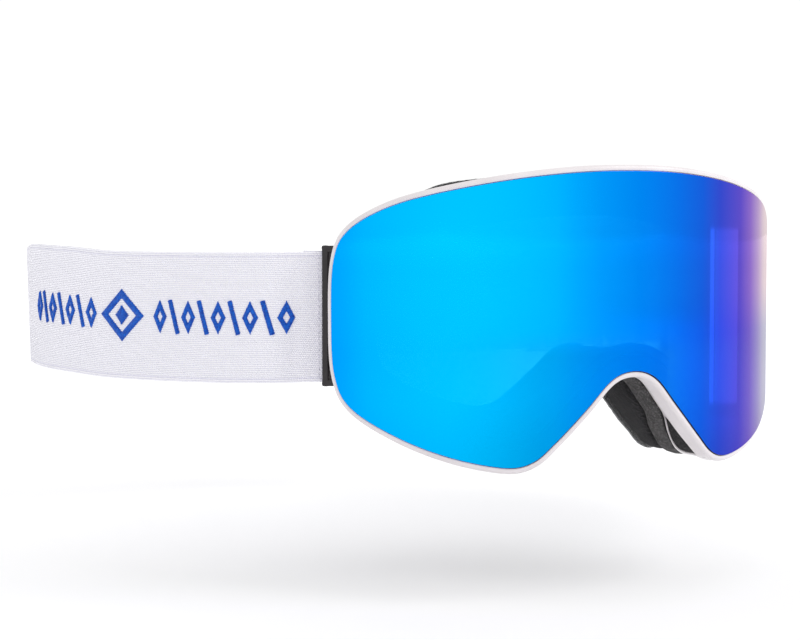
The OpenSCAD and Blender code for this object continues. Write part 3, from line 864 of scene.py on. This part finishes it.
SOFT_O, SOFT_I = (face_y(edge[:, 0]) + BASE_T + SOFT_T for edge in (O_EDGE, I_EDGE))


def foam_ring(name, front, rear, bulge, cuts, material, spacing, inset=0.0, **pits):
    """One foam layer; front and rear hold the y of its edges on the outer and on the inner side."""
    out = unit((O_EDGE - I_EDGE) * [1, 0, 1])
    (a, d), (b, c) = (
        (with_y(O_EDGE, o + shift) - out * inset, with_y(I_EDGE, i + shift) + out * inset)
        for (o, i), shift in ((front, inset), (rear, -inset))
    )
    corners = [a, (a + b) / 2 + out * bulge, b, c, (c + d) / 2 - out * bulge, d]
    edge, middle = cuts
    cuts = [edge, middle, edge, edge, middle, edge]
    return swept(name, corners, cuts, material, 4, spacing=spacing, **pits)


def coordinates(mesh):
    co = np.zeros(len(mesh.vertices) * 3)
    mesh.vertices.foreach_get("co", co)
    return co.reshape(-1, 3)


def puff(obj, voxel, cap, pressure=4.0, frames=20):
    """Swells a padded ring with a short cloth simulation; no point moves further than cap."""
    m = obj.modifiers.new("remesh", "REMESH")
    m.mode, m.voxel_size = "VOXEL", voxel * MM
    settle(obj)
    rest = coordinates(obj.data)
    cloth = obj.modifiers.new("cloth", "CLOTH")
    cloth.settings.use_pressure = True
    cloth.settings.uniform_pressure_force = pressure
    cloth.settings.effector_weights.gravity = 0
    cloth.point_cache.frame_end = frames
    scene = bpy.context.scene
    for k in range(1, frames + 1):
        scene.frame_set(k)
    moved = coordinates(obj.evaluated_get(bpy.context.evaluated_depsgraph_get()).data) - rest
    obj.modifiers.remove(cloth)
    scene.frame_set(1)
    moved[:, 1] *= 0.15
    far = np.linalg.norm(moved, axis=1, keepdims=True)
    rest += moved * np.minimum(1, cap * MM / np.maximum(far, 1e-9))
    obj.data.vertices.foreach_set("co", rest.ravel())
    m = obj.modifiers.new("round", "SUBSURF")
    m.levels = m.render_levels = 1
    settle(obj)


def roughen(obj, depth, size, seed):
    """Small pits in the surface, as in open-cell foam."""
    v = coordinates(obj.data)
    n = np.zeros(len(v) * 3)
    obj.data.vertices.foreach_get("normal", n)
    v += n.reshape(-1, 3) * (depth * MM * lattice_noise(v / MM, size, seed))[:, None]
    obj.data.vertices.foreach_set("co", v.ravel())
    obj.data.polygons.foreach_set("use_smooth", np.ones(len(obj.data.polygons), bool))
    obj.data.update()


JOINT = 0.1             # the glue line between two foam layers
frame_y, soft_y = np.array([FRAME_O, FRAME_I]), np.array([SOFT_O, SOFT_I])
base = foam_ring("foam_firm_layer", frame_y, frame_y + BASE_T, 0.5, (0.9, 4.0), FIRM, 0.9,
                 grain=0.07, size=0.9, seed=2)
piece(base, MASK, "foam_firm", "foam_base")
soft = foam_ring("foam_soft_layer", frame_y + BASE_T + JOINT, soft_y, 0.4, (1.6, 4.0), SOFT, 1.2, inset=0.45)
puff(soft, 1.9, 1.1)
roughen(soft, 0.08, 1.0, 3)
piece(soft, MASK, "foam_soft", "foam_soft")
fleece = foam_ring("foam_fleece_layer", soft_y + JOINT, soft_y + FLEECE_T, 0.25, (0.9, 0.5), FLEECE, 0.8,
                   grain=0.12, size=0.7, seed=4)
piece(fleece, MASK, "fleece", "foam_fleece")


def vent_strips(name, node, spans, top, front, depth, seed):
    """Thin foam behind the vents, inside the frame's wall; spans are ranges of the rolled-out x."""
    parts = []
    w = WALL_D - WALL_T - 0.1
    y0 = at(WALL_D, WALL_R)[:, 1] + front
    y1 = np.minimum(y0 + depth, frame_end(at(w, WALL_R)[:, 0]) - 0.3)
    across = np.linspace(0.03, 0.97, 9)
    for low, high in spans:
        pick = stations(low, high, top)
        section = []
        for d, shares in ((w, across), (w - 1.8, across[::-1])):
            section += [with_y(at(d, WALL_R), y0 + (y1 - y0) * t)[pick] for t in shares]
        v, f = capped_tube(np.stack(section, 1))
        f = outward(v, f)
        v = v + vertex_normals(v, f) * (0.1 * lattice_noise(v, 0.9, seed))[:, None]
        parts.append((v, f))
    v, f = join(parts)
    piece(make(name, v, f, VENT), MASK, "vent_foam", node)


vent_strips("vent_foam_top_strip", "vent_foam_top", [(-74, 74)], True, 1.2, 8, 5)
vent_strips("vent_foam_bottom_strips", "vent_foam_bottom", [(-80, -50), (50, 80)], False, 1.2, 8, 6)
v, f = join([leaf_solid(side, -0.35, -WALL_T - 1.6, 0.12) for side in (1, -1)])
piece(make("vent_foam_nose_pads", v, f, VENT), MASK, "vent_foam", "vent_foam_nose")


# ---- Outriggers ----
OUT_H = 23.65


def outrigger_field(p):
    """A raised border on a thin plate, a barrel round the pin, and the bar that the strap goes round."""
    q = upper(p)
    d = slab_field(p, (0.4, -2.95, -OUT_H), (6, -2.3, OUT_H), 1.0, 0.2)
    d = soft_min(d, slab_field(p, (3.9, -3.4, -OUT_H), (6, -2.3, OUT_H), 0.9, 0.3), 0.12)
    d = soft_min(d, slab_field(q, (0.9, -3.4, OUT_H - 2.2), (6, -2.3, OUT_H), 0.9, 0.3), 0.12)
    barrel = rod_field(p, 0, 0, 2, -18.8, 18.8, 0.3)
    web = box_field(p, (-1.2, -3.4, -18.8), (1.2, -0.8, 18.8), 0.35)
    d = soft_min(d, soft_min(barrel, web, 0.5), 0.5)
    d = soft_min(d, rod_field(p, BAR[0], BAR[1], BAR_R, 0.5 - OUT_H, OUT_H - 0.5), 0.2)
    d = soft_min(d, box_field(q, (4.1, -3.1, OUT_H - 1.3), (6.1, 1.4, OUT_H), 0.4), 0.4)
    return soft_max(d, -rod_field(p, 0, 0, PIN_R + 0.05, -30, 30), 0.1)


def from_pin(v):
    """Points from the right outrigger's own axes, whose X points away from the frame."""
    v = np.array(v, float)
    v[..., 0] *= -1
    return placed(v, -FLARE, PIN)


def from_ring(v):
    """Points from the right strap ring's own axes, whose X points along the rear strap."""
    return placed(v, RING_TURN, RING)


ov, of = field_mesh(outrigger_field, (-2.8, -4.2, -24.4), (7.0, 3.0, 24.4), 0.27)
for name, side in SIDES:
    obj = make(f"outrigger_{name}_arm", mirrored(from_pin(ov), side), of, BLACK)
    piece(obj, f"outrigger_{name}", "black_plastic", f"outrigger_{name}")


# ---- Strap ----
THREAD_PITCH = 0.36


def droop(p):
    """Hangs the strap's rear: level in front of the bend, tilted down behind it."""
    t = (p[..., 1] - (DROOP_Y - 10)) / 20
    g = np.where(t < 0, 0, np.where(t < 1, 10 * t * t, p[..., 1] - DROOP_Y))
    a = DROOP * np.clip(t, 0, 1)
    y = p[..., 1] - (1 - np.cos(DROOP)) * g + p[..., 2] * np.sin(a)
    z = p[..., 2] * np.cos(a) - np.sin(DROOP) * g
    return np.stack([p[..., 0], y, z], -1)


FOLD = BAR_R + 0.15 + STRAP_T / 2
LEG = RING_BAR_R + 0.2 + STRAP_T / 2
LEG_START = from_pin([BAR[0], BAR[1] - FOLD])
TAIL = [(0, -LEG), (-2.5, -1.75), (-4.9, -0.25), (-8.1, 0.64), (-12.8, 0.64)]
SIDE_KEYS = [(-103.0, 72), (-118.9, 94), (-134.2, 123), (-145.7, 153), (-148.8, 180)]


def side_path():
    """Plan view of the front webbing, from its sewn tail at the outrigger to its sewn tail at the ring."""
    sewn = catmull([(12.7, 0.72), (10.9, 0.72), (9.2, 0.9), (7.6, 2.2), (5.9, 2.9)], 8, False)
    keys = [LEG_START] + [from_pin([x, BAR[1] - FOLD]) for x in (9.0, 15.2)]
    keys += [(x, y + FRONT_Y) for x, y in SIDE_KEYS]
    keys += [from_ring([x, LEG]) for x in (-16, -6, 0)]
    run = catmull(keys, 26, False)[1:]
    turn = from_ring(arc((0, 0), LEG, 90, -80))[1:]
    tail = from_ring(catmull(TAIL, 8, False) + [0.3, 0])
    return np.vstack([from_pin(sewn), from_pin(arc(BAR, FOLD, 80, 270)), run, turn, tail])


def rear_path():
    """Plan view of the rear webbing, from its sewn tail at one ring to its sewn tail at the other."""
    tail = [(RING_GAP - 0.3 - x, y) for x, y in TAIL[::-1]]
    half = [
        catmull(tail, 8, False),
        arc((RING_GAP, 0), LEG, -100, -270),
        np.array([(x, LEG) for x in np.linspace(RING_GAP + 1, SLIDE_L, 40)]),
    ]
    half = [from_ring(h) for h in half]
    bend = from_ring(np.array([SLIDE_L, LEG]))
    a = RING_TURN * (1 - np.linspace(0, 1, 26)[1:])
    s, c = np.sin(RING_TURN), np.cos(RING_TURN)
    half.append(bend + REAR_R * np.stack([s - np.sin(a), np.cos(a) - c], 1))
    end = half[-1][-1]
    half.append(np.stack([np.linspace(end[0], 0, 50)[1:], np.full(49, end[1])], 1))
    half = np.vstack(half)
    return np.vstack([half, half[-2::-1] * [-1, 1]])


def path_frame(p):
    """Length along a plan path, and its normal on the outer side of the strap."""
    step = np.linalg.norm(np.diff(p, axis=0), axis=1)
    t = unit(np.gradient(p, axis=0))
    return np.concatenate([[0], np.cumsum(step)]), np.stack([-t[:, 1], t[:, 0]], 1)


ACROSS = np.linspace(-STRAP_W / 2, STRAP_W / 2, RIBS * 2 + 1)
EDGE = np.clip((np.abs(ACROSS) - (STRAP_W / 2 - 0.9)) / 0.9, 0, 1)
HALF_T = STRAP_T / 2 * np.sqrt(1 - 0.75 * EDGE**2) - np.where(np.arange(len(ACROSS)) % 2, 0, 0.1)


# The free run of the front webbing, from the outrigger: length, height of its middle, width factor
LIE = [
    (-16, 0, 0.99), (0, -0.3, 0.99), (45, -1.25, 1.008), (88, -1.4, 1.02), (113, -0.4, 1.03),
    (150, 0.2, 1.025), (182, 0, 0.995), (200, 0, 0.99),
]


def sagged(s, z, leg):
    """The height z across the front webbing, where its free run sags and spreads a little."""
    keys = catmull(LIE, 12, False)
    return z * np.interp(s - leg, keys[:, 0], keys[:, 2]) + np.interp(s - leg, keys[:, 0], keys[:, 1])


def webbing(name, path, side, seed, leg=None):
    """A woven band along a plan path: lengthwise ribs, thinner selvedges and a slightly uneven lie."""
    length, n = path_frame(path)
    wave = lattice_noise(np.stack([length, length * 0, length * 0], 1), 17, seed)
    lie = lattice_noise(np.stack([length, length * 0, length * 0 + 9], 1), 24, seed)[:, None]
    # Round the section: the outer side upwards, then the inner side downwards
    z, thick = (np.concatenate([a, b]) for a, b in ((ACROSS, ACROSS[::-1]), (HALF_T, -HALF_T[::-1])))
    flat = (path + n * 0.1 * wave[:, None])[:, None] + n[:, None] * thick[None, :, None]
    up = z * (1 + 0.00024 * lie) + 0.048 * lie
    if leg is not None:
        up = sagged(length[:, None], up, leg)
    v, f = capped_tube(droop(np.concatenate([flat, up[..., None]], -1)))
    uv = np.stack([np.repeat(length, len(z)), np.tile(np.append(ACROSS, ACROSS[::-1] + 60), len(path))], 1)
    return make(name, mirrored(v, side), f, WEBBING, uv=uv)


def tubes(lines, radius, up, sides=6):
    """Closed threads of the given radius along lines, an array (threads, points, 3)."""
    k, n, _ = lines.shape
    t = unit(np.gradient(lines, axis=1))
    side = unit(np.cross(t, up))
    high = unit(np.cross(side, t))
    taper = np.sqrt(np.clip(1 - np.abs(np.linspace(-1, 1, n)) ** 6, 0.12, 1))[None, :, None, None]
    a = (np.arange(sides) * 2 * np.pi / sides)[:, None]
    spokes = side[:, :, None] * np.cos(a) + high[:, :, None] * np.sin(a)
    v = (lines[:, :, None] + radius * taper * spokes).reshape(-1, 3)
    size = n * sides
    single = grid_quads(n, sides).tolist() + [list(range(sides))[::-1], list(range(size - sides, size))]
    return v, [[q + base for q in p] for base in range(0, k * size, size) for p in single]


class Surface:
    """Places on the outer side of a webbing path: s along it, z across it, h above it."""

    def __init__(self, path, leg=None):
        self.path, self.leg = path, leg
        self.length, self.n = path_frame(path)

    def along(self, s, values):
        return np.stack([np.interp(s, self.length, values[:, k]) for k in (0, 1)], -1)

    def nearest(self, point):
        """The length at the path's point closest to the plan point."""
        return self.length[np.argmin(np.linalg.norm(self.path - point, axis=1))]

    def at(self, s, z, h):
        p = self.along(s, self.path) + self.along(s, self.n) * (h + STRAP_T / 2)[..., None]
        if self.leg is not None:
            z = sagged(s, z, self.leg)
        return droop(np.concatenate([p, z[..., None]], -1))

    def up(self, s):
        return np.concatenate([self.along(s, self.n), np.zeros(s.shape + (1,))], -1)


def stitches(surface, starts, ends, height, radius, rng, points=7):
    """Threads that rise from the webbing at each start and dive back in at each end; both are (s, z)."""
    t = np.linspace(0, 1, points)
    sz = starts[:, None] + (ends - starts)[:, None] * t[None, :, None]
    sz = sz + rng.normal(0, 0.03, (len(starts), 1, 2))
    h = height * np.sin(np.pi * t) ** 0.55 * (1 + rng.normal(0, 0.08, (len(starts), 1))) - 0.12
    return tubes(surface.at(sz[..., 0], sz[..., 1], h), radius, surface.up(sz[..., 0]))


def satin(p, q, width):
    """Start and end points of the stitches that fill a stroke from p to q."""
    p, q = np.array(p, float), np.array(q, float)
    along = (q - p) / np.linalg.norm(q - p)
    across = np.array([-along[1], along[0]])
    n = int(np.linalg.norm(q - p) / THREAD_PITCH)
    mid = p + (q - p) * ((np.arange(n) + 0.5) / n)[:, None]
    return mid - across * width / 2, mid + across * width / 2


SLIDER_X, SLIDER_L = 34.0, 18.0
LOOP_END = STRAP_W / 2 + 0.3


def ring_field(p):
    """Two round bars joined by a flat piece at each end."""
    bars = [rod_field(p, x, 0, RING_BAR_R, -LOOP_END - 0.7, LOOP_END + 0.7) for x in (0, RING_GAP)]
    side = box_field(upper(p), (-1.3, -1.3, LOOP_END), (RING_GAP + 1.3, 1.3, LOOP_END + 1.4), 0.65)
    return soft_min(soft_min(*bars, 0.1), side, 0.7)


def adjuster_field(p):
    """A tri-glide: one bar under the webbing and two over it, joined at each end."""
    outer = LEG + STRAP_T / 2 + 0.25
    inner = LEG - STRAP_T / 2 - 0.25 - 1.8
    end, half = LOOP_END + 1, SLIDER_L / 2
    d = box_field(p, (-1.5, inner, -end), (1.5, inner + 1.8, end), 0.5)
    for x in (-half, half - 3):
        d = soft_min(d, box_field(p, (x, outer, -end), (x + 3, outer + 1.8, end), 0.5), 0.1)
    side = box_field(upper(p), (-half, inner, LOOP_END), (half, outer + 1.8, LOOP_END + 1.4), 0.6)
    return soft_min(d, side, 0.6)


rv, rf = field_mesh(ring_field, (-2.2, -2.2, -24.8), (10.2, 2.2, 24.8), 0.3)
av, af = field_mesh(adjuster_field, (-10, -1.6, -24.8), (10, 6.2, 24.8), 0.33)
av = av + [SLIDER_X, 0, 0]
for name, side in SIDES:
    obj = make(f"strap_ring_{name}_loop", mirrored(droop(from_ring(rv)), side), rf, LOOP_WHITE)
    piece(obj, MASK, "white_plastic", f"strap_ring_{name}")
    obj = make(f"strap_adjuster_{name}_loop", mirrored(droop(from_ring(av)), side), af, LOOP_WHITE)
    piece(obj, f"adjuster_{name}", "white_plastic", f"adjuster_{name}")


def bends(obj, side):
    """Bakes the object's placement into its mesh; the points where the webbing leaves the outrigger and
    further back are worked out but not used.
    """
    start, end = (mirrored(np.append(from_pin([x, BAR[1] - FOLD]), 0), side) * MM for x in (13.5, 50))
    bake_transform(obj)


def lozenge(s, wide, tall):
    """Start and end points of the stitches that fill a lozenge around the length s."""
    z = np.arange(-tall, tall, THREAD_PITCH) + THREAD_PITCH / 2
    half = np.maximum(wide * (1 - np.abs(z) / tall), 0.25)
    return np.stack([s - half, z], 1), np.stack([s + half, z], 1)


def lozenge_ring(s, wide, tall, width):
    """Start and end points of the stitches that go round an open lozenge."""
    corner = np.array([(1, 0), (0, 1), (-1, 0), (0, -1)], float)
    side = np.hypot(wide, tall)
    inset = width * side / (wide * tall)
    t = np.arange(0, 1, THREAD_PITCH / side)[:, None]
    edge = np.vstack([(a + (b - a) * t) * [wide, tall] for a, b in zip(corner, np.roll(corner, -1, 0))])
    return [s, 0] + edge * (1 - inset), [s, 0] + edge


def embroidery(surface, s0, rng):
    """Open lozenges and slanted bars on both sides of a large double lozenge, in satin stitch."""
    parts = []
    for first, pitch, count, wide, tall in ((13.2, 6.35, 9, 3.1, 5.7), (99.0, 6.3, 7, 3.1, 5.5)):
        for k in range(count):
            s = s0 + first + k * pitch
            bar = satin((s - 1.7, -tall), (s + 1.7, tall), 2.0)
            parts.append(bar if k % 2 else lozenge_ring(s, wide, tall, 1.7))
    centre = s0 + 82.7
    parts.append(lozenge_ring(centre, 11.0, 9.2, 2.6))
    parts.append(lozenge(centre, 3.8, 3.2))
    starts, ends = (np.vstack([p[k] for p in parts]) for k in (0, 1))
    return stitches(surface, starts, ends, 0.5, 0.25, rng)


def seams(surface, lengths, rng):
    """Straight rows of flat stitches across the webbing, low enough for the adjuster to pass."""
    z = np.arange(-20.5, 20.5, 2.1)
    rows = [np.stack([np.full(len(z), s), z], 1) for s in lengths]
    return join([stitches(surface, a, a + [0, 1.5], 0.18, 0.13, rng, 6) for a in rows])


front_path, back_path = side_path(), rear_path()
leg_start = Surface(front_path).nearest(LEG_START)
front_surface, rear_surface = Surface(front_path, leg_start), Surface(back_path)
ring_leg = front_surface.nearest(from_ring([0, LEG]))
rear_leg = rear_surface.nearest(from_ring([RING_GAP, LEG]))
for name, side in SIDES:
    rng = np.random.RandomState(11 if side > 0 else 12)
    band = webbing(f"strap_front_{name}", front_path, side, 21 + side, leg_start)
    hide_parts(f"strap_side_{name}", f"strap_fold_{name}")
    bends(band, side)
    v, f = embroidery(front_surface, leg_start, rng)
    bends(make(f"embroidery_{name}", mirrored(v, side), f, BLUE_THREAD), side)
    v, f = seams(front_surface, [leg_start + 2.2, ring_leg - 8.6, ring_leg - 11.0], rng)
    bends(make(f"strap_front_seams_{name}", mirrored(v, side), f, WHITE_THREAD), side)

piece(webbing("strap_rear_band", back_path, 1, 31), MASK, "strap", "strap_rear")
whole = rear_surface.length[-1]
places = [q for s in (rear_leg + 8.6, rear_leg + 11.0) for q in (s, whole - s)]
v, f = seams(rear_surface, places, np.random.RandomState(13))
piece(make("strap_rear_seams", v, f, WHITE_THREAD), MASK, "strap")


def grips():
    """Wavy silicone beads on the inside of the rear strap."""
    parts = []
    y = back_path[len(back_path) // 2][1] - STRAP_T / 2
    x = np.linspace(-55, 55, 260)
    taper = np.sqrt(np.clip(1 - (np.abs(x) / 55.01) ** 14, 0.02, 1))
    a = np.linspace(0, np.pi, 9)
    for z in (-12, 0, 12):
        middle = z + 0.35 * np.sin(x * 2 * np.pi / 7)
        top = [np.stack([x, y - 0.62 * np.sin(t) * taper, middle + 0.9 * np.cos(t) * taper], 1) for t in a]
        foot = [with_y(p, y + 0.08) for p in top[::-1]]
        v, f = capped_tube(np.stack(top + foot, 1))
        parts.append((droop(v), f))
    v, f = join(parts)
    piece(make("silicone_grips", v, f, SILICONE), MASK, "silicone", "grip_strips")


grips()

# ---- Finishes of the CAD nodes that stay ----
for node, finish in (
    ("frame_magnets", MAGNET), ("lens_steel_pads", STEEL),
    ("hinge_pin_right", STEEL), ("hinge_pin_left", STEEL),
):
    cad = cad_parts[node]
    cad.data.materials.clear()
    cad.data.materials.append(finish)
    bevel = cad.modifiers.new("edge", "BEVEL")
    bevel.width, bevel.segments, bevel.limit_method = 0.12 * MM, 2, "ANGLE"

# ---- Floor, light and camera ----
FLOOR_Z, FLOOR_HALF = -93.5, 9000
corners = [(x * FLOOR_HALF, y * FLOOR_HALF, FLOOR_Z) for x, y in ((-1, -1), (1, -1), (1, 1), (-1, 1))]
s = Shader("floor")
far = s.node("VectorMath", {0: s.node("TexCoord").outputs["Object"]}, operation="LENGTH").outputs["Value"]
painted_glow_floor = s.solid(s.tones(s.noise(400, 3), linear(246, 246, 247), linear(249, 249, 250)), 0.9, {
    "Specular IOR Level": 0.1,
    "Emission Color": (1, 1, 1, 1),
    "Emission Strength": s.grey(far, 0.05, 0.34, 0.15, 0.9),  # painted glow: the floor gives off light of its own, faint near the goggles and stronger far away, where it fades into the white
})
make("floor", corners, [[0, 1, 2, 3]], painted_glow_floor, closed=False)

scene = bpy.context.scene
scene.view_settings.view_transform = "Standard"
world = Shader("studio", bpy.data.worlds)
strength = world.grey(world.node("LightPath").outputs["Is Diffuse Ray"], 1.04, 0.93)
sky = world.node("Background", {"Color": (1, 1, 1, 1), "Strength": strength}).outputs[0]
scene.world = world.finish(sky, "OutputWorld")


def softbox(name, place, target, power, wide, tall=None):
    """An area light: round, or a rectangle if it has a second size."""
    data = bpy.data.lights.new(name, "AREA")
    data.shape, data.size, data.energy = "DISK", wide, power
    if tall is not None:
        data.shape, data.size_y = "RECTANGLE", tall
    lamp = bpy.data.objects.new(name, data)
    scene.collection.objects.link(lamp)
    lamp.location = place
    lamp.rotation_euler = (Vector(target) - Vector(place)).to_track_quat("-Z", "Y").to_euler()
    return lamp


softbox("key_light", (0.95, -0.85, 1.05), (0, 0.05, 0), 9, 1.2)
# Two dim panels that only show as the window in the lens: their bearing from the lens, width and power
WINDOW_AT, WINDOW_FAR, WINDOW_TALL = np.array([0.038, -0.036, -0.03]), 0.6, 0.11
for name, angle, wide, power in (("window", -5.8, 0.19, 0.022), ("window_edge", -16.8, 0.03, 0.007)):
    turn = math.radians(angle)
    place = WINDOW_AT + WINDOW_FAR * np.array([math.cos(turn), math.sin(turn), 0])
    softbox(name, place, WINDOW_AT, power, wide, WINDOW_TALL).visible_camera = False

camera = bpy.data.cameras.new("camera")
camera.sensor_width, camera.lens = 36, 92.37
camera.clip_start, camera.clip_end = 0.01, 50
view = bpy.data.objects.new("camera", camera)
view.location = (-0.36755, -0.61383, 0.0343)
view.rotation_euler = (math.radians(90 - 2.96), 0, math.radians(-26.21))
scene.collection.objects.link(view)
scene.camera = view
